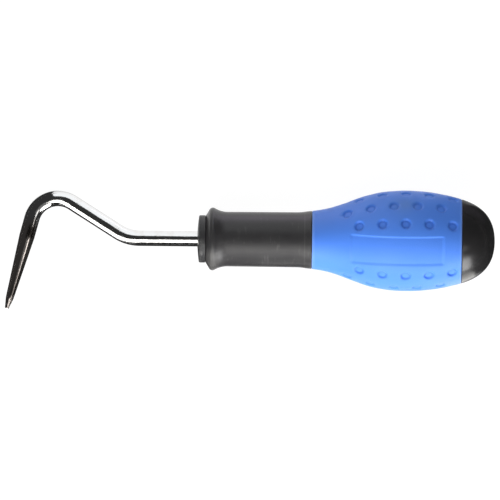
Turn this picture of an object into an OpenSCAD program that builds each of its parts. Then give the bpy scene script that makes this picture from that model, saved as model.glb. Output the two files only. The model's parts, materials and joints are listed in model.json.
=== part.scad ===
// Puller hook: a chromed rod bent to a hooked point, in a two-part moulded screwdriver-type handle.
// The sub-parts are drawn in the tool's own frame: +X runs along the handle's axis from the middle
// of the collar's face to the end cap, +Y is the side that the knee rises to, and +Z is square to the hook.
// The whole tool is then turned to lie as it comes to rest on a flat surface.

/* [Hook shaft] */
// Diameter of the chromed rod
rod_d = 6; // [4:0.1:8]
// Straight length from the collar's face to the corner of the first bend
straight_len = 27.1; // [20:0.1:60]
// Angle by which the sloping length leaves the handle's axis
slope_angle = 32; // [15:0.5:45]
// Sloping length from the corner of the first bend to the corner of the knee
slope_len = 39.8; // [34:0.1:70]
// Centreline radius of the first bend
bend_r = 16; // [8:0.5:20]
// Angle inside the knee, between the sloping length and the point
knee_angle = 73.1; // [65:0.1:110]
// Centreline radius of the knee
knee_r = 10.5; // [7:0.5:12]
// Length from the corner of the knee at which the point starts to taper
taper_start = 21.4; // [20:0.1:40]
// Length of the long taper
taper_len = 25.1; // [12:0.1:40]
// Diameter at the end of the long taper
taper_d = 3.1; // [2:0.1:3.9]
// Length of the short cone at the tip
tip_len = 4.2; // [1:0.1:8]
// Diameter of the blunt end face of the tip
tip_d = 1.5; // [0.8:0.1:1.9]
// Depth to which the rod runs into the handle, from the collar's face
tang_len = 66; // [58:0.5:80]
// Width across the wings pressed out of the rod to stop it turning
wing_w = 9; // [8.2:0.1:10]
// Thickness of the wings
wing_t = 2.4; // [1.5:0.1:3.5]
// Length of each pair of wings
wing_len = 7; // [4:0.5:10]
// Distance from the rod's inner end to the middle of the rear wings
wing_inset = 8; // [6:0.5:12]
// Distance between the middles of the two pairs of wings
wing_pitch = 18; // [12:0.5:24]

/* [Handle core] */
// Diameter of the collar that shows in front
collar_d = 18.5; // [17:0.1:19]
// Length of the collar
collar_len = 3.1; // [2.2:0.1:5]
// Rise of the collar's domed face from its rim to the rod
collar_crown = 0.6; // [0.2:0.1:1.2]
// Radius of the collar's rounded front rim
collar_round = 0.6; // [0.2:0.1:0.8]
// Diameter of the core inside the neck sleeve
neck_core_d = 15.6; // [13:0.1:16.4]
// Diameter of the spigot that carries the end cap
spigot_d = 20; // [14:0.1:23]
// Length of the spigot
spigot_len = 7; // [4:0.1:8]

/* [Neck sleeve] */
// Diameter over the flared lip
lip_d = 24.5; // [23:0.1:28]
// Distance from the collar's face to the lip's widest ring
lip_x = 6; // [5.6:0.1:9]
// Radius of the lip's rounded nose
lip_round = 1.5; // [0.8:0.1:1.8]
// Angle of the lip's front cone from the handle's axis
lip_angle = 60; // [45:1:70]
// Radius of the hollow fillet from the lip down to the neck
lip_fillet = 10; // [6:0.5:22]
// Diameter of the neck behind the lip
neck_d = 21.3; // [20:0.1:22.5]
// Diameter of the neck in front of its flare to the grip
neck_rear_d = 21.5; // [20:0.1:22.5]
// Distance from the collar's face to the start of the neck's rear flare
flare_x = 38; // [30:0.5:41]
// Distance from the collar's face to the joint of neck and grip
grip_x = 44.7; // [43:0.1:52]

/* [Grip sleeve] */
// Diameter of the handle at the joint of neck and grip
joint_d = 22.7; // [21.5:0.1:24]
// Angle at which the grip starts to swell at that joint
joint_angle = 5.6; // [2:0.1:8]
// Diameter of the belly at its widest
belly_d = 39.2; // [36:0.1:42]
// Distance from the collar's face to the widest ring of the belly
belly_x = 81.5; // [78:0.1:84]
// Reach of the swell's curve from the joint
swell_front = 14.4; // [11:0.1:15]
// Reach of the swell's curve from the widest ring
swell_rear = 18.9; // [16:0.1:20]
// Thickness of the soft sleeve over the core
grip_wall = 3.2; // [2.4:0.1:4]
// Diameter of a dimple at the surface
dimple_d = 4.2; // [3:0.1:4.6]
// Diameter of a dimple at its floor
dimple_floor_d = 3.2; // [2:0.1:4]
// Depth of a dimple
dimple_depth = 0.7; // [0.3:0.05:1]
// Distance between dimples along a row
dimple_pitch = 9.15; // [8:0.05:9.3]
// Number of dimples in a row
dimples_in_row = 5; // [3:1:5]
// Distance from the collar's face to the first dimple of an even row
dimple_x = 62.9; // [60:0.1:64]
// Number of rows of dimples
dimple_rows = 13; // [9:2:13]
// Angle from the middle of the bare panel to the first row on each side
row_start = 32.75; // [30:0.25:40]
// Length of the recessed bare panel
panel_len = 36; // [20:0.5:38]
// Width of the recessed bare panel
panel_w = 11.1; // [6:0.1:12]
// Depth of the recessed bare panel
panel_depth = 0.3; // [0.15:0.05:0.6]
// Distance from the collar's face to the middle of the panel
panel_x = 77.9; // [77:0.1:80]
// Angle about the axis at which the panel sits, from +Z towards +Y
panel_turn = -12.85; // [-45:0.05:45]

/* [End cap] */
// Distance from the collar's face to the joint of grip and end cap
cap_x = 103; // [102.5:0.1:106]
// Fall in radius from the belly's widest ring to that joint
cap_drop = 3.2; // [2.5:0.1:5]
// Length of the end cap's dome
cap_len = 13; // [11.5:0.1:16]
// Reach of the dome's curve from the joint
dome_front = 7.2; // [5:0.1:8.5]
// Reach of the dome's curve from its end
dome_rise = 10.2; // [8:0.1:11.5]

/* [Fits] */
// Radial clearance between the rod and the core moulded round it
rod_gap = 0.02; // [0.01:0.01:0.1]
// Radial clearance between the core and its sleeves
sleeve_gap = 0.05; // [0.02:0.01:0.2]
// Radial clearance between the spigot and the end cap
cap_gap = 0.05; // [0.02:0.01:0.2]
// Room left behind the end of the spigot
spigot_room = 0.3; // [0.1:0.1:1]

/* [Hidden] */
$fn = 96;
// Steps along each curve of an outline, and along each bend of the rod when it is measured
curve_steps = 12;
bend_steps = 24;
// Amount by which a cutting solid passes the face that it cuts through
past = 1;
// A bend runs this far into the lengths on each side of it, and is thinner than they are by a hair
bend_lap = 0.5;
bend_thinning = 0.04;

rod_r = rod_d / 2;
collar_r = collar_d / 2;
neck_core_r = neck_core_d / 2;
neck_r = neck_d / 2;
joint_r = joint_d / 2;
belly_r = belly_d / 2;
cap_r = belly_r - cap_drop;

// Points on a cubic curve with the ends a and d and the handles b and c.
function curve(a, b, c, d) = [
    for (i = [0:curve_steps])
        let (t = i / curve_steps, u = 1 - t)
        u * u * u * a + 3 * u * u * t * b + 3 * u * t * t * c + t * t * t * d
];

// Points on an arc about a centre from one angle to another.
function arc(centre, r, from, to) = [
    for (i = [0:curve_steps])
        let (a = from + (to - from) * i / curve_steps)
        centre + r * [cos(a), sin(a)]
];

function along(angle) = [cos(angle), sin(angle)];

// Outlines, as [distance along the axis, radius]

// The collar's face falls back as a parabola from the axis to its rounded rim.
collar_face_r = collar_r - collar_round;
function collar_face_x(r) = collar_crown * pow(r / collar_face_r, 2);
collar_outline = concat(
    [for (i = [0:curve_steps - 1]) let (r = collar_face_r * i / curve_steps) [collar_face_x(r), r]],
    arc([collar_crown + collar_round, collar_face_r], collar_round, 180, 90),
    [[collar_len, collar_r]]
);

// The lip's nose is an arc, tangent to the front cone and to the hollow fillet behind it.
nose = [lip_x, lip_d / 2 - lip_round];
fillet_y = neck_r + lip_fillet;
fillet_x = nose[0] + sqrt(pow(lip_round + lip_fillet, 2) - pow(fillet_y - nose[1], 2));
fillet_turn = atan2(fillet_y - nose[1], fillet_x - nose[0]);
cone_top = nose + lip_round * along(90 + lip_angle);
cone_foot = [collar_len, cone_top[1] - (cone_top[0] - collar_len) * tan(lip_angle)];
lip_outline = concat(
    [[collar_len, max(cone_foot[1], neck_core_r + past)]],
    arc(nose, lip_round, 90 + lip_angle, fillet_turn),
    arc([fillet_x, fillet_y], lip_fillet, fillet_turn + 180, 270)
);

joint = [grip_x, joint_r];
joint_slope = along(joint_angle);
flare_reach = (grip_x - flare_x) / 2;
flare_outline = curve(
    [flare_x, neck_rear_d / 2],
    [flare_x + flare_reach, neck_rear_d / 2],
    joint - flare_reach * joint_slope,
    joint
);
neck_outline = concat(lip_outline, flare_outline);

belly = [belly_x, belly_r];
swell_outline = curve(joint, joint + swell_front * joint_slope, belly - [swell_rear, 0], belly);
// Behind the belly's widest ring an arc runs level from there to the end cap.
belly_len = cap_x - belly_x;
belly_arc_r = (belly_len * belly_len + cap_drop * cap_drop) / (2 * cap_drop);
belly_turn = asin(belly_len / belly_arc_r);
belly_outline = arc([belly_x, belly_r - belly_arc_r], belly_arc_r, 90, 90 - belly_turn);
grip_outline = concat(swell_outline, [for (i = [1:curve_steps]) belly_outline[i]]);
function grip_r(x) = lookup(x, grip_outline);

cap_joint = [cap_x, cap_r];
cap_end = [cap_x + cap_len, 0];
cap_outline = curve(cap_joint, cap_joint + dome_front * along(-belly_turn), cap_end + [0, dome_rise], cap_end);

// The rod's centreline, from the handle to the tip

slope_dir = 180 - slope_angle;
point_dir = slope_dir + 180 - knee_angle;
bend_corner = [-straight_len, 0];
knee_corner = bend_corner + slope_len * along(slope_dir);
bend_cut = bend_r * tan(slope_angle / 2);
knee_cut = knee_r / tan(knee_angle / 2);
bend_centre = bend_corner + [bend_cut, bend_r];
knee_start = knee_corner - knee_cut * along(slope_dir);
knee_centre = knee_start + knee_r * along(slope_dir + 90);
point_straight = max(taper_start, knee_cut);

// Discs that measure the tool: [centre, axis, radius] of a ring or a cut across the rod
function ring(p) = [[p[0], 0, 0], [1, 0, 0], p[1]];
function cut(p, dir, r) = [[p[0], p[1], 0], [cos(dir), sin(dir), 0], r];
front_rings = [for (p = concat(collar_outline, lip_outline)) ring(p)];
belly_rings = [for (p = concat(grip_outline, cap_outline)) ring(p)];
bend_cuts = [
    for (i = [0:bend_steps])
        let (dir = 180 - slope_angle * i / bend_steps)
        cut(bend_centre + bend_r * along(dir + 90), dir, rod_r)
];
knee_cuts = [
    for (i = [0:bend_steps])
        let (dir = slope_dir + (180 - knee_angle) * i / bend_steps)
        cut(knee_centre + knee_r * along(dir - 90), dir, rod_r)
];
point_cuts = [
    cut(knee_corner + point_straight * along(point_dir), point_dir, rod_r),
    cut(knee_corner + (point_straight + taper_len) * along(point_dir), point_dir, taper_d / 2),
    cut(knee_corner + (point_straight + taper_len + tip_len) * along(point_dir), point_dir, tip_d / 2)
];
hook_cuts = concat(bend_cuts, knee_cuts, point_cuts);

// How the tool lies

// The nose dips until the lip and the belly both touch: the slope of their common tangent.
nose_dip = min([
    for (f = front_rings)
        max([for (b = belly_rings) atan2(b[2] - f[2], b[0][0] - f[0][0])])
]);
dipped_floor = min([for (f = front_rings) f[0][0] * sin(nose_dip) - f[2] * cos(nose_dip)]);
// Then the tool rolls about its axis until the knee touches as well.
knee_roll = min([
    for (k = knee_cuts)
        asin(min(1, (k[0][0] * sin(nose_dip) - k[2] - dipped_floor) / (k[0][1] * cos(nose_dip))))
]);

// A direction of the tool's frame, as it lies.
function rolled(v) = [
    v[0],
    v[1] * cos(knee_roll) + v[2] * sin(knee_roll),
    -v[1] * sin(knee_roll) + v[2] * cos(knee_roll)
];
function dipped(v) = [
    v[0] * cos(nose_dip) - v[2] * sin(nose_dip),
    v[1],
    v[0] * sin(nose_dip) + v[2] * cos(nose_dip)
];
function lying(v) = dipped(rolled(v));

// The far side of every disc along one axis of the surface: sign is 1 for the high side, -1 for the low.
function reach(axis, sign) = [
    for (s = concat(front_rings, belly_rings, hook_cuts))
        let (tilt = lying(s[1])[axis])
        lying(s[0])[axis] + sign * s[2] * sqrt(max(0, 1 - tilt * tilt))
];
foot = [
    (min(reach(0, -1)) + max(reach(0, 1))) / 2,
    (min(reach(1, -1)) + max(reach(1, 1))) / 2,
    min(reach(2, -1))
];

module lie() {
    translate(-foot)
        rotate([0, -nose_dip, 0])
            rotate([-knee_roll, 0, 0])
                children();
}

// Turns an outline about the handle's axis.
module turned_solid(outline) {
    last = len(outline) - 1;
    rotate([0, 90, 0])
        rotate_extrude()
            polygon(concat(
                [[0, outline[0][0]]],
                [for (p = outline) [p[1], p[0]]],
                [[0, outline[last][0]]]
            ));
}

// A round length from one point of the hook's plane along a direction.
module length_of_rod(start, dir, len, d) {
    translate([start[0], start[1], 0])
        rotate([0, 90, dir])
            cylinder(h = len, d = d);
}

// A bend of the rod about a centre, from one angle round by another.
module bend_of_rod(centre, r, from, turn) {
    lap = bend_lap / r * 180 / PI;
    translate([centre[0], centre[1], 0])
        rotate([0, 0, from - lap])
            rotate_extrude(angle = turn + 2 * lap)
                translate([r, 0])
                    circle(d = rod_d - bend_thinning);
}

// The rod inside the handle with its two pairs of wings, fattened by a clearance.
module tang(gap) {
    start = bend_corner + [bend_cut, 0];
    length_of_rod(start, 0, tang_len - start[0] + gap, rod_d + 2 * gap);
    for (i = [0:1])
        translate([tang_len - wing_inset - i * wing_pitch, 0, 0])
            rotate([90 * i, 0, 0])
                cube([wing_len + 2 * gap, wing_w + 2 * gap, wing_t + 2 * gap], center = true);
}

// Chromed steel rod, bent twice and drawn down to a blunt point.
module hook_shaft() {
    slope_start = bend_corner + bend_cut * along(slope_dir);
    point_start = knee_corner + knee_cut * along(point_dir);
    taper_at = point_straight - knee_cut;
    color([0.80, 0.81, 0.83]) {
        tang(0);
        bend_of_rod(bend_centre, bend_r, 270 - slope_angle, slope_angle);
        length_of_rod(slope_start, slope_dir, slope_len - bend_cut - knee_cut, rod_d);
        bend_of_rod(knee_centre, knee_r, slope_dir - 90, 180 - knee_angle);
        translate([point_start[0], point_start[1], 0])
            rotate([0, 0, point_dir])
                turned_solid([
                    [0, rod_r],
                    [taper_at, rod_r],
                    [taper_at + taper_len, taper_d / 2],
                    [taper_at + taper_len + tip_len, tip_d / 2]
                ]);
    }
}

// Hard black core, moulded round the rod. Its front is the collar and its rear the cap's spigot.
module handle_core() {
    skin = grip_wall + sleeve_gap;
    inside_grip = [for (p = grip_outline) [p[0], p[1] - skin]];
    color([0.16, 0.16, 0.17])
        difference() {
            turned_solid(concat(
                collar_outline,
                [[collar_len, neck_core_r], [grip_x, neck_core_r]],
                inside_grip,
                [[cap_x, spigot_d / 2], [cap_x + spigot_len, spigot_d / 2]]
            ));
            tang(rod_gap);
        }
}

// Matt black sleeve over the neck, with the flared lip that stops the hand.
module neck_sleeve() {
    color([0.20, 0.19, 0.20])
        difference() {
            turned_solid(neck_outline);
            turned_solid([
                [collar_len - past, neck_core_r + sleeve_gap],
                [grip_x + past, neck_core_r + sleeve_gap]
            ]);
        }
}

// One dimple at a distance along the axis: a shallow round pit, square to the surface.
module dimple(x) {
    slope = atan2(grip_r(x + 0.5) - grip_r(x - 0.5), 1);
    spread = (dimple_d - dimple_floor_d) / dimple_depth;
    translate([x, 0, grip_r(x)])
        rotate([0, -slope, 0])
            translate([0, 0, -dimple_depth])
                cylinder(h = dimple_depth + past, d1 = dimple_floor_d, d2 = dimple_d + spread * past);
}

// The bare panel's recess, of even depth below the swelling surface.
module panel_recess() {
    floor_outline = [for (p = grip_outline) [p[0], p[1] - panel_depth]];
    rotate([-panel_turn, 0, 0])
        difference() {
            translate([panel_x - panel_len / 2, -panel_w / 2, 0])
                cube([panel_len, panel_w, belly_r + past]);
            turned_solid(floor_outline);
        }
}

// Soft blue sleeve of the grip, dimpled all round but for the bare panel.
module grip_sleeve() {
    row_step = (360 - 2 * row_start) / (dimple_rows - 1);
    inside = [for (p = grip_outline) [p[0], p[1] - grip_wall]];
    color([0.30, 0.47, 0.86])
        difference() {
            turned_solid(grip_outline);
            turned_solid(concat(
                [[grip_x - past, inside[0][1]]],
                inside,
                [[cap_x + past, cap_r - grip_wall]]
            ));
            panel_recess();
            for (row = [0:dimple_rows - 1])
                rotate([-(panel_turn + row_start + row * row_step), 0, 0])
                    for (i = [0:dimples_in_row - 1])
                        dimple(dimple_x + i * dimple_pitch - (row % 2) * dimple_pitch / 2);
        }
}

// Smooth black dome, pressed over the core's spigot.
module end_cap() {
    socket_r = spigot_d / 2 + cap_gap;
    color([0.12, 0.12, 0.13])
        difference() {
            turned_solid(cap_outline);
            turned_solid([
                [cap_x - past, socket_r],
                [cap_x + spigot_len + spigot_room, socket_r]
            ]);
        }
}

lie() hook_shaft();
lie() handle_core();
lie() neck_sleeve();
lie() grip_sleeve();
lie() end_cap();
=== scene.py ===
import json
from math import asin, atan2, cos, pi, radians, sin, sqrt, tan

import bpy
import numpy as np
from mathutils import Matrix


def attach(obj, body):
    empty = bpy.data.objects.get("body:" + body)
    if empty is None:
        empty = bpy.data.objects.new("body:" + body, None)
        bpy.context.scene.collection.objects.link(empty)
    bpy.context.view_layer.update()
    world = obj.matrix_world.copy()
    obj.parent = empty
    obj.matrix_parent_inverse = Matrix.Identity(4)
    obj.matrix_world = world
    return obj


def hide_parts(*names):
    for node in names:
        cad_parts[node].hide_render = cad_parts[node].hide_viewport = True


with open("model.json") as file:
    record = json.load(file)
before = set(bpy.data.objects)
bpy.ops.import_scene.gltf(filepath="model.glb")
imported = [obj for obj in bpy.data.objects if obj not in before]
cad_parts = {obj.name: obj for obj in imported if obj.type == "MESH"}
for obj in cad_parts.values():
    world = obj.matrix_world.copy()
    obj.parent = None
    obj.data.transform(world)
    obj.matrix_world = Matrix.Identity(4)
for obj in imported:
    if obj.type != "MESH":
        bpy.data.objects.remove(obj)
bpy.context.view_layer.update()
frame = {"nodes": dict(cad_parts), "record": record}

# The tool as it lies: on the flared lip, the belly of the grip and the knee of the hook, nose down and a
# little rolled. Sizes are millimetres in the tool's own frame: X along the handle from the collar's face,
# Y to the side of the knee, and Z square to the hook and up to the camera.
BELLY_X = 81.5

mounts = {mount["name"]: mount for mount in frame["record"]["mounts"]}
x_axis = np.array(mounts["grip"]["axis"])
y_axis = np.cross(mounts["crook"]["axis"], x_axis)
y_axis /= np.linalg.norm(y_axis)
z_axis = np.cross(x_axis, y_axis)
TOOL_AXES = np.array([x_axis, y_axis, z_axis])
COLLAR_FACE = np.array(mounts["grip"]["pos_m"]) - BELLY_X / 1000 * x_axis


def lying(points):
    """Points of the tool's frame, in millimetres, as they lie in the row frame, in metres."""
    return COLLAR_FACE + np.asarray(points) / 1000 @ TOOL_AXES


# The camera
# A long lens looks square down on the hook's plane from five metres. The tool's front points a hair
# upwards in the picture.
VIEW_CENTRE = (20.59, -4.17, 0.0)
VIEW_WIDTH = 195.0
VIEW_DISTANCE = 5.0
PICTURE_TURN = 0.0098


def placed(right, up, back, point):
    """The matrix of a camera or lamp at a point, which looks along the opposite of back."""
    return Matrix([[right[i], up[i], back[i], point[i]] for i in range(3)] + [[0, 0, 0, 1]])


lens = bpy.data.cameras.new("camera")
lens.lens = lens.sensor_width * VIEW_DISTANCE / (VIEW_WIDTH / 1000)
camera = bpy.data.objects.new("camera", lens)
to_right = np.array([cos(PICTURE_TURN), sin(PICTURE_TURN), 0.0]) @ TOOL_AXES
to_top = np.array([-sin(PICTURE_TURN), cos(PICTURE_TURN), 0.0]) @ TOOL_AXES
camera.matrix_world = placed(to_right, to_top, z_axis, lying(VIEW_CENTRE) + VIEW_DISTANCE * z_axis)
bpy.context.scene.collection.objects.link(camera)
bpy.context.scene.camera = camera

# The hook
# A drawn 6 mm steel rod, bent twice and ground down to a blunt point, then polished and chrome
# plated. Its tang runs into the handle, where two pairs of pressed wings stop it turning.
ROD_D = 6.0
STRAIGHT_LEN = 27.1
SLOPE_ANGLE = 32.0
SLOPE_LEN = 39.8
BEND_R = 16.0
KNEE_ANGLE = 73.1
KNEE_R = 10.5
TAPER_START = 21.4
TAPER_LEN = 25.1
TAPER_D = 3.1
TIP_LEN = 4.2
TIP_D = 1.5
TIP_ROUND = 0.2
POINT_WEAR = 0.5
TANG_LEN = 66.0
WING_W = 9.0
WING_T = 2.4
WING_LEN = 7.0
WING_INSET = 8.0
WING_PITCH = 18.0
WING_PAIRS = 2
WING_END_POWER = 24
WING_SIDE_POWER = 8
AROUND_ROD = 64
STATION_STEP = 0.45
CHROME = (0.93, 0.93, 0.93, 1)
TARNISHED = (0.80, 0.77, 0.74, 1)
BROWNED = (0.80, 0.70, 0.65, 1)
# The near black of the painted shade over the point's reflected streak.
STREAK_SHADE_BROWN = (0.085, 0.073, 0.066, 1)
# Where each tone and each painted shade of the point sets in, in millimetres past the knee, and how far
# clouds shift that.
BROWN_FROM = (-2.0, 4.0)
KNEE_SHADE_FROM = (1.8, 3.8)
KNEE_SHADE_TO = (7.2, 9.4)
LOW_SHADE_FROM = (15.0, 24.0)
DEEPER_SHADE_FROM = (24.0, 29.0)
BRIGHT_TIP_FROM = (30.5, 32.5)
CLOUD_SHIFT = 2.4
# The edges of the point's upper side, which carries the painted shade, in millimetres round the rod from the
# plane of the hook.
UPPER_SIDE_FROM = (1.4, 2.6)
UPPER_SIDE_TO = (4.6, 5.6)


def new_piece(name, points, faces, crisp=None):
    """A piece whose mesh holds these points, in millimetres of the tool's frame, and faces. Its faces are
    turned outwards if the volume that they close comes out negative. Edges sharper than crisp degrees
    stay sharp."""
    mesh = bpy.data.meshes.new(name)
    points = np.asarray(points)
    signed = 0.0
    for face_set in faces:
        a, b, c = points[face_set[:, 0]], points[face_set[:, 1]], points[face_set[:, 2]]
        signed += (a * np.cross(b, c)).sum()
        if face_set.shape[1] == 4:
            d = points[face_set[:, 3]]
            signed += (a * np.cross(c, d)).sum()
    if signed < 0:
        faces = [face_set[:, ::-1] for face_set in faces]
    mesh.from_pydata(lying(points).tolist(), [], [f for face_set in faces for f in face_set.tolist()])
    mesh.shade_smooth()
    if crisp is not None:
        mesh.set_sharp_from_angle(angle=radians(crisp))
    piece = bpy.data.objects.new(name, mesh)
    bpy.context.scene.collection.objects.link(piece)
    return piece


def skin(rings, looped=False):
    """Faces over rings of points, each closed round and joined to the next. Looped, the last ring joins
    the first; otherwise the first and the last ring are closed by a fan about an added middle point."""
    count, around = rings.shape[:2]
    points = rings.reshape(-1, 3)
    grid = np.arange(count * around).reshape(count, around)
    if looped:
        grid = np.vstack([grid, grid[:1]])
    near, far = grid[:-1], grid[1:]
    quads = np.stack([near, np.roll(near, -1, 1), np.roll(far, -1, 1), far], axis=-1).reshape(-1, 4)
    if looped:
        return points, [quads]
    fans = []
    for ring, step in ((grid[0], -1), (grid[-1], 1)):
        middle = np.full(around, len(points))
        points = np.vstack([points, points[ring].mean(0)])
        ahead = np.roll(ring, -1)
        pair = (ring, ahead) if step > 0 else (ahead, ring)
        fans.append(np.stack([*pair, middle], axis=-1))
    return points, [quads, np.vstack(fans)]


def mark(piece, name, values):
    """Gives every vertex of a piece a vector, which its material reads by that name. The middle points
    of its closed ends take the last one."""
    spare = len(piece.data.vertices) - len(values)
    values = np.vstack([values, np.repeat(values[-1:], spare, axis=0)]) if spare else values
    attribute = piece.data.attributes.new(name, "FLOAT_VECTOR", "POINT")
    attribute.data.foreach_set("vector", np.asarray(values, np.float32).ravel())


# Stations are distances along the rod's centreline from its inner end, and the stops are those where its
# straight lengths, bends and cones end.
bend_cut = BEND_R * tan(radians(SLOPE_ANGLE) / 2)
knee_cut = KNEE_R / tan(radians(KNEE_ANGLE) / 2)
lengths = np.array([
    TANG_LEN + STRAIGHT_LEN - bend_cut,
    BEND_R * radians(SLOPE_ANGLE),
    SLOPE_LEN - bend_cut - knee_cut,
    KNEE_R * (pi - radians(KNEE_ANGLE)),
    TAPER_START - knee_cut,
    TAPER_LEN,
    TIP_LEN,
])
stops = np.concatenate([[0.0], np.cumsum(lengths)])
knee_end = stops[4]
rod_end = stops[7] - TIP_ROUND


def rod_centreline(stations):
    """Points and headings along the rod: the heading is level, turns evenly through each bend and is
    level between them, and the points are its running sum."""
    slope = pi - radians(SLOPE_ANGLE)
    point = slope + pi - radians(KNEE_ANGLE)
    heading = np.interp(stations, stops[:6], [pi, pi, slope, slope, point, point])
    middle = (heading[1:] + heading[:-1]) / 2
    step = np.diff(stations)
    x = TANG_LEN + np.concatenate([[0], np.cumsum(step * np.cos(middle))])
    y = np.concatenate([[0], np.cumsum(step * np.sin(middle))])
    return np.stack([x, y, np.zeros_like(x)], axis=-1), heading


def rod_radius(stations):
    """Full thickness to the taper, then a long cone and a short one. The mean over a short stretch about
    each station wears their corners round."""
    ends = [ROD_D / 2, ROD_D / 2, TAPER_D / 2, TIP_D / 2]
    shifts = np.linspace(-POINT_WEAR, POINT_WEAR, 9)
    return np.mean([np.interp(stations + shift, [0, *stops[5:]], ends) for shift in shifts], axis=0)


def wing(stations, angle, middle, towards):
    """How far a pressed wing stands out of the rod at each station and angle about it: two bells with
    high powers, which give it a flat top and steep ends."""
    along = 1 / (1 + (2 * np.abs(stations - middle) / WING_LEN) ** WING_END_POWER)
    off = np.abs(np.sin(angle - towards)) / sin(asin(WING_T / ROD_D))
    return (WING_W - ROD_D) / 2 * along / (1 + off ** WING_SIDE_POWER)


rod_stations = np.union1d(np.arange(0, rod_end, STATION_STEP), [*stops[:-1], rod_end])
centres, headings = rod_centreline(rod_stations)
round_rod = np.linspace(0, 2 * pi, AROUND_ROD, endpoint=False)
station_grid, angle_grid = np.meshgrid(rod_stations, round_rod, indexing="ij")
rod_r = rod_radius(station_grid)
for pair in range(WING_PAIRS):
    rod_r = rod_r + wing(station_grid, angle_grid, WING_INSET + pair * WING_PITCH, pi / 2 * pair)
across = np.stack([-np.sin(headings), np.cos(headings), np.zeros_like(headings)], axis=-1)
rod_rings = (
    centres[:, None]
    + (rod_r * np.cos(angle_grid))[..., None] * across[:, None]
    + (rod_r * np.sin(angle_grid))[..., None] * np.array([0, 0, 1.0])
)
# The tip's edge turns in by a small quarter round.
ahead = np.array([cos(headings[-1]), sin(headings[-1]), 0.0])
last_ring = rod_rings[-1]
for turn in np.radians([30, 60, 90]):
    shrink = 1 - TIP_ROUND * (1 - cos(turn)) / rod_r[-1].mean()
    ring = centres[-1] + (last_ring - centres[-1]) * shrink
    rod_rings = np.concatenate([rod_rings, [ring + ahead * TIP_ROUND * sin(turn)]])

hook = new_piece("hook", *skin(rod_rings), crisp=40)
along_rod = np.stack([station_grid, angle_grid * ROD_D / 2, rod_r], axis=-1).reshape(-1, 3)
mark(hook, "along_rod", along_rod)


class Wire:
    """A shader socket. An expression on wires and numbers adds the Math nodes that work it out."""

    def __init__(self, tree, socket):
        self.tree = tree
        self.socket = socket

    def node(self, kind, settings, sockets, output=0):
        """Adds a node: its settings are set first, then each socket takes its value or wire."""
        made = self.tree.nodes.new(kind)
        for name, value in settings.items():
            setattr(made, name, value)
        for name, value in sockets.items():
            if isinstance(value, Wire):
                self.tree.links.new(value.socket, made.inputs[name])
            else:
                made.inputs[name].default_value = value
        return Wire(self.tree, made.outputs[output])

    def maths(self, operation, *values):
        """Adds a Math node on wires and numbers."""
        return self.node("ShaderNodeMath", {"operation": operation}, dict(enumerate(values)))

    def __add__(self, other):
        return self.maths("ADD", self, other)

    def __sub__(self, other):
        return self.maths("SUBTRACT", self, other)

    def __rsub__(self, other):
        return self.maths("SUBTRACT", other, self)

    def __mul__(self, other):
        return self.maths("MULTIPLY", self, other)

    __radd__ = __add__
    __rmul__ = __mul__

    def part(self, index):
        """One of the three numbers of a vector."""
        return self.node("ShaderNodeSeparateXYZ", {}, {0: self}, index)

    def noise(self, scale, detail=2.0, roughness=0.5):
        """Clouds about the middle value 0.5, with this many to the metre."""
        sockets = {"Vector": self, "Scale": scale, "Detail": detail, "Roughness": roughness}
        return self.node("ShaderNodeTexNoise", {}, sockets)

    def stretched(self, x, y, z):
        """The same vector with its parts multiplied, which draws a pattern out along the smallest."""
        return self.node("ShaderNodeVectorMath", {"operation": "MULTIPLY"}, {0: self, 1: (x, y, z)})

    def step(self, low, high):
        """0 below low, 1 above high and a smooth rise between them."""
        sockets = {"Value": self, "From Min": low, "From Max": high}
        return self.node("ShaderNodeMapRange", {"interpolation_type": "SMOOTHSTEP"}, sockets)

    def tint(self, low, high):
        """The colour low where the wire is 0, and high where it is 1."""
        return self.node("ShaderNodeMix", {"data_type": "RGBA"}, {0: self, 6: low, 7: high}, 2)


def finish_of(name, **constants):
    """A new material whose shader holds these constant values. It returns the material, its shader and
    the wire of the place on the object."""
    material = bpy.data.materials.new(name)
    material.use_nodes = True
    tree = material.node_tree
    shader = tree.nodes["Principled BSDF"]
    for socket, value in constants.items():
        shader.inputs[socket.replace("_", " ")].default_value = value
    coordinates = tree.nodes.new("ShaderNodeTexCoord")
    return material, shader, Wire(tree, coordinates.outputs["Object"])


def attribute(place, name):
    """The wire of a vector that the piece's vertices were marked with, in the same tree as place."""
    return place.node("ShaderNodeAttribute", {"attribute_name": name}, {}, "Vector")


def connect(shader, **wires):
    """Joins wires to the sockets of a shader that change over the surface."""
    for socket, wire in wires.items():
        wire.tree.links.new(wire.socket, shader.inputs[socket.replace("_", " ")])


def bumps(height, distance):
    """A surface normal from a height, where a height of 1 stands up by that many metres."""
    return height.node("ShaderNodeBump", {}, {"Height": height, "Strength": 1.0, "Distance": distance})


chrome, shader, place = finish_of("chrome_plate", Metallic=1.0)
rod_place = attribute(place, "along_rod")
drawn = rod_place.stretched(0.06, 1.4, 1.0).noise(6.0, 3.0)
cloud = place.noise(260.0, 3.0)
fine = place.noise(2600.0, 2.0)
specks = place.noise(1700.0, 2.0, 0.7).step(0.62, 0.74)
tarnish = cloud.step(0.48, 0.72) * 0.5
plate = tarnish.tint(CHROME, TARNISHED)
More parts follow.
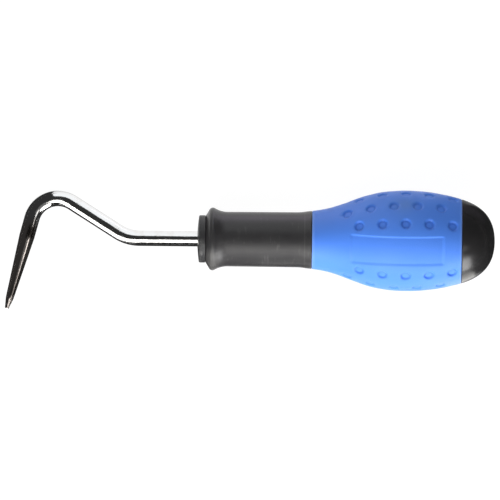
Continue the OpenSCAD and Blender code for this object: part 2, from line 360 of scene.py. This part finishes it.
# The ground point is browner. Its upper side carries painted shade over the reflected streak: a patch below
# the knee, and a darkening further down, up to the bright tip.
down_point = rod_place.part(0) - knee_end + CLOUD_SHIFT * (cloud - 0.5)
knee_shade = down_point.step(*KNEE_SHADE_FROM) - down_point.step(*KNEE_SHADE_TO)
low_shade = 0.5 * down_point.step(*LOW_SHADE_FROM) + 0.25 * down_point.step(*DEEPER_SHADE_FROM)
low_shade = low_shade - 0.75 * down_point.step(*BRIGHT_TIP_FROM)
upper_side = rod_place.part(1).step(*UPPER_SIDE_FROM) - rod_place.part(1).step(*UPPER_SIDE_TO)
# Painted shade over the reflected streak on the point's upper side.
streak_shade = knee_shade * upper_side
point_tone = (down_point.step(*BROWN_FROM) * 0.75).tint(plate, BROWNED)
connect(
    shader,
    Base_Color=(streak_shade + low_shade * upper_side).tint(point_tone, STREAK_SHADE_BROWN),
    Roughness=0.035 + 0.05 * drawn.step(0.45, 0.8) + 0.04 * cloud.step(0.5, 0.8) + 0.16 * specks
    + 0.20 * streak_shade,
    Normal=bumps(cloud * 0.6 + drawn * 0.25 + fine * 0.06, 0.00006),
)
hook.data.materials.append(chrome)
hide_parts("hook_shaft")
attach(hook, "root")

# The handle's core
# Hard black plastic, moulded round the tang. Only its front shows: the collar with its domed face,
# rubbed grey where fingers and the bench have worn it.
CORE_BLACK = (0.030, 0.030, 0.031, 1)
CORE_RUBBED = (0.075, 0.075, 0.074, 1)

core_plastic, shader, place = finish_of("core_plastic", Specular_IOR_Level=0.5)
cloud = place.noise(420.0, 4.0)
grain = place.noise(2400.0, 2.0)
rubbed = cloud.step(0.52, 0.72)
connect(
    shader,
    Base_Color=rubbed.tint(CORE_BLACK, CORE_RUBBED),
    Roughness=0.42 + 0.14 * rubbed,
    Normal=bumps(grain * 0.7 + cloud * 0.6, 0.00008),
)
core = frame["nodes"]["handle_core"]
core.material_slots[0].material = core_plastic

# The neck sleeve
# Matt black plastic with a fine spark-eroded grain, moulded over the core. Its flared lip stops the
# hand, and its rear flares to meet the grip at a fine groove.
COLLAR_LEN = 3.1
NECK_CORE_R = 7.8
SLEEVE_GAP = 0.05
LIP_D = 24.5
LIP_X = 6.0
LIP_ROUND = 1.5
LIP_ANGLE = 60.0
LIP_FILLET = 10.0
LIP_FOOT_R = 8.8
NECK_D = 21.3
NECK_REAR_D = 21.5
FLARE_X = 38.0
GRIP_X = 44.7
JOINT_D = 22.7
JOINT_ANGLE = 5.6
NECK_EDGE = 0.45
AROUND_NECK = 160
NECK_BLACK = (0.026, 0.025, 0.027, 1)
NECK_WORN = (0.090, 0.089, 0.086, 1)
# The pale grey of the painted highlight on the lip's lower side.
LIP_HIGHLIGHT_GREY = (0.088, 0.086, 0.084, 1)
# Places behind the joint with the grip: a paler ring, and the painted highlight on the lip.
RING_X = -2.85
RING_REACH = 0.35
LIP_HIGHLIGHT_FROM = (-42.0, -40.6)
LIP_HIGHLIGHT_TO = (-38.4, -35.4)


def cubic(a, b, c, d, steps=40):
    """Points on a cubic curve with the ends a and d and the handles b and c."""
    t = np.linspace(0, 1, steps + 1)[:, None]
    a, b, c, d = map(np.array, (a, b, c, d))
    return (1 - t) ** 3 * a + 3 * (1 - t) ** 2 * t * b + 3 * (1 - t) * t ** 2 * c + t ** 3 * d


def arc(centre, radius, start, end, steps=12):
    """Points on an arc about a centre from one angle to another, in degrees."""
    t = np.radians(np.linspace(start, end, steps + 1))
    return np.array(centre) + radius * np.stack([np.cos(t), np.sin(t)], axis=-1)


def eased(before, corner, after, reach, steps=5):
    """Points of a parabola that rounds a corner from that far before it to that far after it."""
    before, corner, after = map(np.array, (before, corner, after))
    a = corner + (before - corner) * reach / np.linalg.norm(before - corner)
    b = corner + (after - corner) * reach / np.linalg.norm(after - corner)
    t = np.linspace(0, 1, steps + 1)[:, None]
    return (1 - t) ** 2 * a + 2 * (1 - t) * t * corner + t ** 2 * b


def turned(outline, around):
    """Rings of an outline of distances along the handle and radii, turned about the handle's axis. The
    angle about the axis grows from +Z towards +Y."""
    outline = np.asarray(outline, float)
    angle = np.linspace(0, 2 * pi, around, endpoint=False)
    x = np.repeat(outline[:, :1], around, axis=1)
    return np.stack([x, outline[:, 1:] * np.sin(angle), outline[:, 1:] * np.cos(angle)], axis=-1)


# The nose of the lip is a small round, which runs into the neck over the fillet.
nose = np.array([LIP_X, LIP_D / 2 - LIP_ROUND])
fillet_y = NECK_D / 2 + LIP_FILLET
fillet_x = nose[0] + sqrt((LIP_ROUND + LIP_FILLET) ** 2 - (fillet_y - nose[1]) ** 2)
fillet_turn = np.degrees(atan2(fillet_y - nose[1], fillet_x - nose[0]))
joint = np.array([GRIP_X, JOINT_D / 2])
joint_slope = np.array([cos(radians(JOINT_ANGLE)), sin(radians(JOINT_ANGLE))])
flare_reach = (GRIP_X - FLARE_X) / 2
flare = cubic(
    (FLARE_X, NECK_REAR_D / 2),
    (FLARE_X + flare_reach, NECK_REAR_D / 2),
    joint - flare_reach * joint_slope,
    joint,
)
bore_r = NECK_CORE_R + SLEEVE_GAP
neck_outline = np.vstack([
    [(COLLAR_LEN, bore_r), (COLLAR_LEN, LIP_FOOT_R)],
    arc(nose, LIP_ROUND, 90 + LIP_ANGLE, fillet_turn, 20),
    arc((fillet_x, fillet_y), LIP_FILLET, fillet_turn + 180, 270, 20),
    np.stack([np.linspace(fillet_x, FLARE_X, 25), np.linspace(NECK_D, NECK_REAR_D, 25) / 2], axis=-1)[1:],
    flare[1:-4],
    eased(flare[-4], joint, (GRIP_X, bore_r), NECK_EDGE),
    [(GRIP_X, bore_r)],
])
neck_rings = turned(neck_outline, AROUND_NECK)
neck = new_piece("neck_cover", *skin(neck_rings, looped=True), crisp=35)
mark(neck, "from_joint", (neck_rings - [GRIP_X, 0, 0]).reshape(-1, 3))

neck_matte, shader, place = finish_of("neck_matte", Specular_IOR_Level=0.46)
cloud = place.noise(120.0, 4.0, 0.6)
grain = place.noise(2200.0, 3.0, 0.7)
scuffs = place.stretched(1.0, 0.18, 0.18).noise(900.0, 3.0).step(0.56, 0.70) * cloud.step(0.44, 0.64)
from_joint = attribute(place, "from_joint")
behind = from_joint.part(0)
# A paler ring on the neck, 2.85 mm behind the joint.
ring = behind.step(RING_X - RING_REACH, RING_X) - behind.step(RING_X, RING_X + RING_REACH)
worn = 0.25 * cloud + 0.6 * scuffs + 0.35 * ring
# The lip is painted pale on the side of the point, a painted highlight.
lip_highlight_band = behind.step(*LIP_HIGHLIGHT_FROM) - behind.step(*LIP_HIGHLIGHT_TO)
point_side = from_joint.stretched(1.0, -1.0, 1.0).part(1).step(3.0, 6.5) * from_joint.part(2).step(-2.0, 3.0)
lip_highlight = lip_highlight_band * point_side * (0.5 + 0.7 * cloud)
connect(
    shader,
    # The lip's painted highlight goes over the neck's black.
    Base_Color=lip_highlight.tint(worn.tint(NECK_BLACK, NECK_WORN), LIP_HIGHLIGHT_GREY),
    Roughness=0.27 + 0.12 * cloud - 0.04 * scuffs,
    Normal=bumps(grain + 0.8 * scuffs, 0.00005),
)
neck.data.materials.append(neck_matte)
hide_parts("neck_sleeve")
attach(neck, "root")

# The grip sleeve
# Soft satin rubber, moulded over the core: a swelling belly with thirteen rows of round dimples about
# it, and between the first and the last row a shallow bare panel that faces the camera.
BELLY_D = 39.2
SWELL_FRONT = 14.4
SWELL_REAR = 18.9
GRIP_WALL = 3.2
DIMPLE_R = 1.85
DIMPLE_DEPTH = 0.66
PARTING_FADE = 0.5
DIMPLE_WALL = 0.15
RIM_FROM_R = DIMPLE_R - 0.4
RIM_TO_R = 2.9
RIM_DEPTH = 0.17
FOOT_R = 1.4
FOOT_DEPTH = 0.12
FOOT_WIDTH = 0.35
DIMPLE_PITCH = 9.15
DIMPLES_IN_ROW = 5
DIMPLE_X = 62.9
DIMPLE_ROWS = 13
ROW_START = 32.75
PANEL_LEN = 36.0
PANEL_W = 11.1
PANEL_DEPTH = 0.3
PANEL_WALL = 0.8
PANEL_LOW_WALL = 1.4
PANEL_END_WALL = 1.6
PANEL_X = 77.9
PANEL_TURN = -12.85
CAP_X = 103.0
CAP_DROP = 3.2
GRIP_EDGE = 0.45
AROUND_GRIP = 480
DIMPLED_FROM = 56.6
# The painted shade round each dimple's foot: its radius and width.
PIT_SHADE_R = 1.42
PIT_SHADE_WIDTH = 0.3
SMUDGE_X = 80.6
SMUDGE_LEN = 4.5
SMUDGE_ANGLE = 0.8
SMUDGE_SPREAD = 0.2
# The width of the painted highlight along the sleeve's two ends.
END_HIGHLIGHT_WIDTH = 0.5
GRIP_BLUE = (0.070, 0.235, 0.86, 1)
GRIP_WORN = (0.089, 0.272, 0.89, 1)
SMUDGED = (0.13, 0.24, 0.42, 1)
# The blue of the painted shade round each dimple's foot.
PIT_SHADE_BLUE = (0.030, 0.12, 0.56, 1)
# The blue of the painted highlight at the sleeve's ends.
GRIP_END_HIGHLIGHT = (0.24, 0.42, 0.92, 1)

belly = np.array([BELLY_X, BELLY_D / 2])
swell = cubic(joint, joint + SWELL_FRONT * joint_slope, belly - [SWELL_REAR, 0], belly, 400)
belly_len = CAP_X - BELLY_X
belly_arc_r = (belly_len ** 2 + CAP_DROP ** 2) / (2 * CAP_DROP)
belly_turn = np.degrees(asin(belly_len / belly_arc_r))
barrel = arc((BELLY_X, BELLY_D / 2 - belly_arc_r), belly_arc_r, 90, 90 - belly_turn, 400)
swelling = np.vstack([swell, barrel[1:]])


def grip_r(x):
    """Radius of the grip at a distance along the handle: a cubic swell and then an arc."""
    return np.interp(x, swelling[:, 0], swelling[:, 1])


def rise(value, low, high):
    """0 below low, 1 above high and a smooth rise between them."""
    t = np.clip((value - low) / (high - low), 0, 1)
    return t * t * (3 - 2 * t)


def bell(value, middle, width):
    """1 at the middle, falling on both sides as a normal curve does."""
    return np.exp(-((value - middle) / width) ** 2)


def dimple_distance(x, angle, radius):
    """Distance along the surface to the middle of the nearest dimple. The rows stand at even angles about
    the axis, and in every other row the dimples sit half a pitch nearer to the collar."""
    row_step = radians(360 - 2 * ROW_START) / (DIMPLE_ROWS - 1)
    first = radians(PANEL_TURN + ROW_START)
    turn = np.mod(angle - first + row_step / 2, 2 * pi) - row_step / 2
    row = np.clip(np.round(turn / row_step), 0, DIMPLE_ROWS - 1)
    start = DIMPLE_X - np.mod(row, 2) * DIMPLE_PITCH / 2
    middle = start + DIMPLE_PITCH * np.clip(np.round((x - start) / DIMPLE_PITCH), 0, DIMPLES_IN_ROW - 1)
    slope = grip_r(middle + 0.5) - grip_r(middle - 0.5)
    return np.hypot((x - middle) * np.hypot(1, slope), radius * (turn - row * row_step))


def dimple_depth(off):
    """Depth of a dimple at a distance from its middle: a tanh across the steep wall, a rim that rises
    smoothly to the surface outside it, and a bell-shaped groove round the foot of the wall."""
    wall = 0.5 - 0.5 * np.tanh((off - DIMPLE_R) / DIMPLE_WALL)
    foot = bell(off, FOOT_R, FOOT_WIDTH)
    return DIMPLE_DEPTH * wall + FOOT_DEPTH * foot + RIM_DEPTH * (1 - rise(off, RIM_FROM_R, RIM_TO_R))


def panel_depth(x, angle, radius):
    """Depth of the bare panel: full inside its rectangle, with a soft wall along the side of the knee and
    softer ones along the other side and at its ends."""
    turn = np.mod(angle - radians(PANEL_TURN) + pi, 2 * pi) - pi
    side = PANEL_W / 2 - np.abs(radius * np.sin(turn))
    end = PANEL_LEN / 2 - np.abs(x - PANEL_X)
    wall = np.where(turn > 0, PANEL_WALL, PANEL_LOW_WALL)
    inside = rise(side / wall, -0.5, 0.5) * rise(end / PANEL_END_WALL, -0.5, 0.5)
    return PANEL_DEPTH * inside * (np.cos(turn) > 0)


front_x = np.linspace(GRIP_X + GRIP_EDGE, DIMPLED_FROM, 12, endpoint=False)
dimpled_x = np.linspace(DIMPLED_FROM, CAP_X - GRIP_EDGE, 177)
outer_x = np.concatenate([front_x, dimpled_x])
inner_x = np.linspace(CAP_X, GRIP_X, 4)
rear = np.array([CAP_X, BELLY_D / 2 - CAP_DROP])
front_edge = eased((GRIP_X, joint[1] - 1), joint, joint + joint_slope, GRIP_EDGE)[:-1]
grip_outline = np.vstack([
    front_edge,
    np.stack([outer_x, grip_r(outer_x)], axis=-1),
    eased((CAP_X - 1, grip_r(CAP_X - 1)), rear, (CAP_X, rear[1] - 1), GRIP_EDGE)[1:],
    np.stack([inner_x, grip_r(inner_x) - GRIP_WALL], axis=-1),
])
grip_rings = turned(grip_outline, AROUND_GRIP)
outer = slice(len(front_edge), len(front_edge) + len(outer_x))
outer_angle = np.linspace(0, 2 * pi, AROUND_GRIP, endpoint=False)
grid_x, grid_angle = np.meshgrid(outer_x, outer_angle, indexing="ij")
grid_r = grip_r(grid_x)
slope = np.gradient(grip_r(outer_x), outer_x)[:, None]
off_dimple = dimple_distance(grid_x, grid_angle, grid_r)
# The sleeve's mould parts along both sides of the handle, and the dimples are shallower near that line.
parting = 1 - PARTING_FADE * np.sin(grid_angle) ** 4
depth = dimple_depth(off_dimple) * parting + panel_depth(grid_x, grid_angle, grid_r)
# Each point sinks square to the surface.
lean = np.hypot(1, slope)
sunk_x = grid_x + depth * slope / lean
sunk_r = grid_r - depth / lean
grip_rings[outer] = np.stack([sunk_x, sunk_r * np.sin(grid_angle), sunk_r * np.cos(grid_angle)], axis=-1)
grip = new_piece("grip_cover", *skin(grip_rings, looped=True))
# The pattern holds painted shade round each dimple's foot, an old smudge on the knee's side of the belly and
# a painted highlight along the sleeve's two ends.
to_end = np.minimum(grip_rings[..., 0] - GRIP_X, CAP_X - grip_rings[..., 0])
pattern = np.zeros_like(grip_rings)
# Painted shade round each dimple's foot.
pattern[outer, :, 0] = bell(off_dimple, PIT_SHADE_R, PIT_SHADE_WIDTH)
pattern[outer, :, 1] = bell(grid_x, SMUDGE_X, SMUDGE_LEN) * bell(grid_angle, SMUDGE_ANGLE, SMUDGE_SPREAD)
# A painted highlight along the sleeve's two ends.
pattern[:, :, 2] = bell(to_end, 0, END_HIGHLIGHT_WIDTH)
mark(grip, "pattern", pattern.reshape(-1, 3))

grip_rubber, shader, place = finish_of("grip_rubber", Specular_IOR_Level=0.35)
cloud = place.noise(70.0, 3.0)
grain = place.noise(1900.0, 3.0, 0.6)
handled = place.noise(35.0, 4.0, 0.6).step(0.55, 0.75)
pattern = attribute(place, "pattern")
blue = (cloud * 0.6 + handled * 0.3).tint(GRIP_BLUE, GRIP_WORN)
smudged = (pattern.part(1) * (0.1 + 0.5 * cloud)).tint(blue, SMUDGED)
# The rubber is darkened round each dimple's foot with painted shade.
pit_shaded = (pattern.part(0) * (0.12 + 0.4 * cloud)).tint(smudged, PIT_SHADE_BLUE)
connect(
    shader,
    # Painted highlight at the sleeve's two ends.
    Base_Color=(pattern.part(2) * 0.6).tint(pit_shaded, GRIP_END_HIGHLIGHT),
    Roughness=0.38 + 0.10 * cloud,
    Normal=bumps(grain, 0.00005),
)
grip.data.materials.append(grip_rubber)
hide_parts("grip_sleeve")
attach(grip, "root")

# The end cap
# Smooth black plastic dome, pressed over the core's spigot, with a half gloss and a faint ripple
# from the mould.
CAP_LEN = 13.0
DOME_FRONT = 7.2
DOME_RISE = 10.2
SPIGOT_R = 10.0
SPIGOT_LEN = 7.0
CAP_GAP = 0.05
SPIGOT_ROOM = 0.3
CAP_EDGE = 0.4
POLE_R = 0.02
AROUND_CAP = 160
CAP_BLACK = (0.017, 0.0165, 0.0175, 1)
CAP_CLOUDED = (0.026, 0.025, 0.0255, 1)

cap_end = np.array([CAP_X + CAP_LEN, 0.0])
down = np.array([cos(radians(belly_turn)), -sin(radians(belly_turn))])
dome = cubic(rear, rear + DOME_FRONT * down, cap_end + [0, DOME_RISE], cap_end, 72)
socket_r = SPIGOT_R + CAP_GAP
socket_end = CAP_X + SPIGOT_LEN + SPIGOT_ROOM
cap_outline = np.vstack([
    [(socket_end, POLE_R), (socket_end, socket_r), (CAP_X, socket_r)],
    eased((CAP_X, rear[1] - 1), rear, dome[4], CAP_EDGE),
    dome[3:-1],
    [(cap_end[0], POLE_R)],
])
cap = new_piece("cap_dome", *skin(turned(cap_outline, AROUND_CAP)), crisp=35)

cap_gloss, shader, place = finish_of("cap_gloss", Specular_IOR_Level=0.56)
ripple = place.noise(300.0, 2.0)
grain = place.noise(2600.0, 2.0)
cloud = place.noise(90.0, 3.0)
rubbed = place.stretched(0.4, 1.0, 1.0).noise(500.0, 3.0).step(0.60, 0.85) * cloud
connect(
    shader,
    Base_Color=(cloud + 0.4 * rubbed).tint(CAP_BLACK, CAP_CLOUDED),
    Roughness=0.19 + 0.08 * cloud,
    Normal=bumps(ripple * 0.5 + grain * 0.2, 0.00004),
)
cap.data.materials.append(cap_gloss)
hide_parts("end_cap")
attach(cap, "root")

# The table and the white surround
# A plain pale table that keeps the tool's soft shadow, under an even white surround. What the camera
# and polished surfaces see of both is white.
TABLE_SIZE = 24.0
TABLE_WHITE = 0.80
TABLE_GLOW = 1.10
TABLE_GLOW_SHARE = 0.88
SURROUND_LIGHT = 0.37

half = TABLE_SIZE / 2
table_mesh = bpy.data.meshes.new("table")
table_corners = [(-half, -half, 0), (half, -half, 0), (half, half, 0), (-half, half, 0)]
table_mesh.from_pydata(table_corners, [], [(0, 1, 2, 3)])
table = bpy.data.objects.new("table", table_mesh)
bpy.context.scene.collection.objects.link(table)


def bare_tree(holder, output="ShaderNodeOutputMaterial"):
    """The node tree of a material or the world with only its output, and the output's surface socket."""
    holder.use_nodes = True
    tree = holder.node_tree
    tree.nodes.clear()
    return tree, tree.nodes.new(output).inputs["Surface"]


def seen(tree):
    """1 for a ray from the camera or one that a gloss or a clear surface sends on, otherwise 0."""
    path = tree.nodes.new("ShaderNodeLightPath")
    camera_ray, glossy, clear = (
        Wire(tree, path.outputs[name])
        for name in ("Is Camera Ray", "Is Glossy Ray", "Is Transmission Ray")
    )
    return camera_ray.maths("MAXIMUM", camera_ray.maths("MAXIMUM", camera_ray, glossy), clear)


table_material = bpy.data.materials.new("pale_table")
tree, surface = bare_tree(table_material)
ray = seen(tree)
matt = ray.node("ShaderNodeBsdfDiffuse", {}, {"Color": (TABLE_WHITE, TABLE_WHITE, TABLE_WHITE, 1)})
glow = ray.node("ShaderNodeEmission", {}, {"Color": (TABLE_GLOW, TABLE_GLOW, TABLE_GLOW, 1), "Strength": 1.0})
mixed = ray.node("ShaderNodeMixShader", {}, {0: ray * TABLE_GLOW_SHARE, 1: matt, 2: glow})
tree.links.new(mixed.socket, surface)
table_mesh.materials.append(table_material)

world = bpy.data.worlds.new("white_surround")
bpy.context.scene.world = world
tree, surface = bare_tree(world, "ShaderNodeOutputWorld")
ray = seen(tree)
level = ray * (1 - SURROUND_LIGHT) + SURROUND_LIGHT
background = ray.node("ShaderNodeBackground", {}, {"Color": (1, 1, 1, 1), "Strength": level})
tree.links.new(background.socket, surface)

# The tent and the cards
# Polished steel and glossy plastic show what stands round them, so black cloth with light areas hangs
# round the set, a white board stands on the side of the knee, and cards that paint the table's light and
# shade lie on it.
TENT_R = 1.6
TENT_BLACK = 0.03
PANEL_LIGHT = 2.9
HAZE_LIGHT = 0.15
STREAK_LIGHT = 1.5
WINDOW_LIGHT = 7.0
BOARD_LIGHT = 1.02
PALE_LIGHT = 0.96
ROD_SHADOW_LEVEL = 0.70
LIT_PATCH_LEVEL = 2.5
UPPER_LIGHT = 1.9
DIM_LIGHT = 0.12
RIM_LIGHT = 0.4
FAR_LIGHT = 2.0
WARM = (1.0, 0.985, 0.95)
COOL = (0.965, 0.985, 1.0)
VIOLET = (1.0, 0.92, 1.08)
# For each light area of the tent: angles about the viewing axis from +X towards +Y, each with the polar
# angles from the camera's side at which the area starts and ends there. The light panel on the side of
# the point narrows towards a faint haze with a streak at its edge. Beyond the end of the handle stands a
# bright window with a weaker top.
PANEL_EDGES = [(226, 60, 95), (238, 47, 100), (270, 20, 59), (278, 17, 57), (287, 18, 39), (294, 20, 22)]
HAZE_EDGES = [(284, 14, 47), (296, 6, 46), (318, 12, 46), (335, 32, 46)]
STREAK_EDGES = [(318, 35, 46), (335, 36, 50), (346, 44, 46)]
WINDOW_TOP_EDGES = [(288, 46, 62), (316, 46, 62)]
WINDOW_EDGES = [(288, 62, 97), (306, 62, 97), (321, 62, 63)]
TENT_STEP = 1.0


def glowing(name, level, tone=(1, 1, 1)):
    """A material that gives off this much even light of a tone."""
    material = bpy.data.materials.new(name)
    tree, surface = bare_tree(material)
    glow = tree.nodes.new("ShaderNodeEmission")
    glow.inputs["Color"].default_value = (*(level * part for part in tone), 1)
    tree.links.new(glow.outputs[0], surface)
    return material


def reflected(name, points, faces, materials):
    """A stage object of these points, as they lie, that is seen only in reflections."""
    mesh = bpy.data.meshes.new(name)
    mesh.from_pydata(points, [], faces)
    for material in materials:
        mesh.materials.append(material)
    made = bpy.data.objects.new(name, mesh)
    made.visible_camera = False
    made.visible_diffuse = False
    made.visible_transmission = False
    made.visible_shadow = False
    made.visible_volume_scatter = False
    bpy.context.scene.collection.objects.link(made)
    return made


black_cloth = glowing("black_cloth", TENT_BLACK)
light_panel = glowing("light_panel", PANEL_LIGHT, WARM)
haze = glowing("haze", HAZE_LIGHT)
streak = glowing("streak", STREAK_LIGHT, WARM)
window = glowing("window", WINDOW_LIGHT)
tent_materials = [black_cloth, light_panel, haze, streak, window]

azimuth = np.radians(np.arange(0, 360, TENT_STEP))
polar = np.radians(np.arange(TENT_STEP, 180, TENT_STEP))
polar_grid, azimuth_grid = np.meshgrid(polar, azimuth, indexing="ij")
directions = np.stack([
    np.sin(polar_grid) * np.cos(azimuth_grid),
    np.sin(polar_grid) * np.sin(azimuth_grid),
    np.cos(polar_grid),
], axis=-1)
tent_points, tent_faces = skin(directions * TENT_R * 1000)
tent_faces = [face for group in tent_faces for face in group.tolist()]
tent = reflected("black_tent", lying(tent_points), tent_faces, tent_materials)
# The tent's grid comes first in its faces and its two ends last, and those stay black.
face_azimuth = np.degrees((azimuth_grid + radians(TENT_STEP) / 2)[:-1]).ravel()
face_polar = np.degrees((polar_grid + radians(TENT_STEP) / 2)[:-1]).ravel()
material_of_face = np.zeros(len(tent.data.polygons), np.int32)
for material, edges in (
    (light_panel, PANEL_EDGES),
    (haze, HAZE_EDGES),
    (streak, STREAK_EDGES),
    (streak, WINDOW_TOP_EDGES),
    (window, WINDOW_EDGES),
):
    at, near_edge, far_edge = np.array(edges, float).T
    lit = (face_azimuth >= at[0]) & (face_azimuth <= at[-1])
    lit &= face_polar > np.interp(face_azimuth, at, near_edge)
    lit &= face_polar < np.interp(face_azimuth, at, far_edge)
    material_of_face[:len(lit)][lit] = tent_materials.index(material)
tent.data.polygons.foreach_set("material_index", material_of_face)

BOARD_Y = 150
BOARD_OUTLINE = [(-82, -30), (75, -30), (75, 352), (41, 292), (-12, 199), (-36, 194), (-78, 190)]
board_points = lying([(x, BOARD_Y, z) for x, z in BOARD_OUTLINE])
white_board = glowing("white_board", BOARD_LIGHT, COOL)
reflected("white_board", board_points, [range(len(BOARD_OUTLINE))], [white_board])

# Seen only in reflections, cards paint the table's light and shade. Black ones, painted shade, lie on a pale
# one and cover the table but for the part under the board, a strip along the handle and the ground before the
# hook's slope.
# A grey one is the rod's painted shadow along it, and bright ones are painted pools of light before the cap
# and the lip. Further ones paint light and shade on the table where the neck's and the cap's side towards the
# knee, the cap's rim and, far off, the cap's lower side reflect it.
CARD_FAR = 900
CARD_LAYER = 0.0001
TABLE_SHADE_CARDS = [
    [(-CARD_FAR, -35), (-57, -35), (-57, 24), (-61, 33), (-61, CARD_FAR), (-CARD_FAR, CARD_FAR)],
    [(-57, -CARD_FAR), (5, -CARD_FAR), (5, 0), (-22, -1.5), (-57, 20.5)],
    [(5, -CARD_FAR), (45, -CARD_FAR), (45, -24), (5, -24)],
    [(75, 85), (CARD_FAR, 85), (CARD_FAR, CARD_FAR), (75, CARD_FAR)],
    [(102, 34), (CARD_FAR, 34), (CARD_FAR, 85), (102, 85)],
    [(116, 0), (CARD_FAR, 0), (CARD_FAR, 34), (116, 34)],
    [(104, -30), (128, -30), (128, 0), (104, 0)],
    [(128, -CARD_FAR), (CARD_FAR, -CARD_FAR), (CARD_FAR, 0), (128, 0)],
]
LIT_TABLE_PATCHES = [
    [(104, -170), (202, -170), (153, -80), (122, -36), (104, -36)],
    [(24, -60), (32, -60), (80, -130), (46, -130)],
]
ROD_SHADOW_STRIP = [(5, 1), (5, 6), (-22, 6), (-62, 29), (-58, 22), (-24, 1)]
UPPER_CARD = [(4, 38), (46, 38), (46, 148), (4, 148)]
DIM_CARD = [(102, 34), (180, 34), (180, 200), (102, 200)]
RIM_CARD = [(102, 12), (116, 12), (116, 34), (102, 34)]
FAR_CARD = [(104, -170), (202, -170), (480, -600), (104, -600)]
SCREEN_X = 43
SCREEN_Y = (-75, -15)
SCREEN_HEIGHT = 0.016


def cards(name, outlines, layer, material):
    """Flat cards of these outlines over the table, in one of the thin layers above it."""
    points = np.vstack([lying([(x, y, 0) for x, y in outline]) for outline in outlines])
    points[:, 2] = layer * CARD_LAYER
    ends = np.cumsum([0] + [len(outline) for outline in outlines])
    reflected(name, points, [range(a, b) for a, b in zip(ends, ends[1:])], [material])


far = 6 * CARD_FAR
pale_outline = [(-far, -far), (far, -far), (far, far), (-far, far)]
cards("pale_card", [pale_outline], 2, glowing("pale_card", PALE_LIGHT))
# The rod's painted shadow, then the table's painted shade and its painted pools of light, all seen only in
# reflections.
cards("painted_rod_shadow", [ROD_SHADOW_STRIP], 3, glowing("painted_rod_shadow", ROD_SHADOW_LEVEL))
cards("painted_table_shade", TABLE_SHADE_CARDS, 4, black_cloth)
cards("painted_table_lights", LIT_TABLE_PATCHES, 5, glowing("painted_table_light", LIT_PATCH_LEVEL, WARM))
cards("upper_card", [UPPER_CARD], 5, glowing("upper_card", UPPER_LIGHT, VIOLET))
cards("dim_card", [DIM_CARD], 5, glowing("dim_card", DIM_LIGHT, VIOLET))
cards("rim_card", [RIM_CARD], 5, glowing("rim_card", RIM_LIGHT))
cards("far_card", [FAR_CARD], 5, glowing("far_card", FAR_LIGHT))
# A low black screen beside the neck hides the pale table from the point.
screen_foot = lying([(SCREEN_X, y, 0) for y in SCREEN_Y])
screen_foot[:, 2] = 0
screen_points = np.vstack([screen_foot, screen_foot[::-1] + [0, 0, SCREEN_HEIGHT]])
reflected("black_screen", screen_points, [range(4)], [black_cloth])

# The lamps
# A soft box stands low on the side of the point, a wider and weaker one hangs over that side, and a
# faint one lights the side of the knee from low down. Each has a direction, distance, size and power.
LAMPS = [
    ("key_box", (-0.10, -0.93, 0.30), 0.9, 0.62, 10.3),
    ("top_box", (-0.30, -0.60, 0.72), 1.2, 0.9, 5.4),
    ("rim_box", (-0.15, 0.97, 0.20), 1.0, 0.6, 2.5),
]
LAMPS_AIM = (30, 0, 0)

for name, direction, distance, size, power in LAMPS:
    lamp = bpy.data.lights.new(name, "AREA")
    lamp.shape = "DISK"
    lamp.size = size
    lamp.energy = power
    holder = bpy.data.objects.new(name, lamp)
    towards = np.array(direction) @ TOOL_AXES
    towards /= np.linalg.norm(towards)
    side = np.cross([0, 0, 1], towards)
    side /= np.linalg.norm(side)
    up = np.cross(towards, side)
    holder.matrix_world = placed(side, up, towards, lying(LAMPS_AIM) + distance * towards)
    holder.visible_glossy = False
    bpy.context.scene.collection.objects.link(holder)

bpy.context.scene.view_settings.view_transform = "Standard"
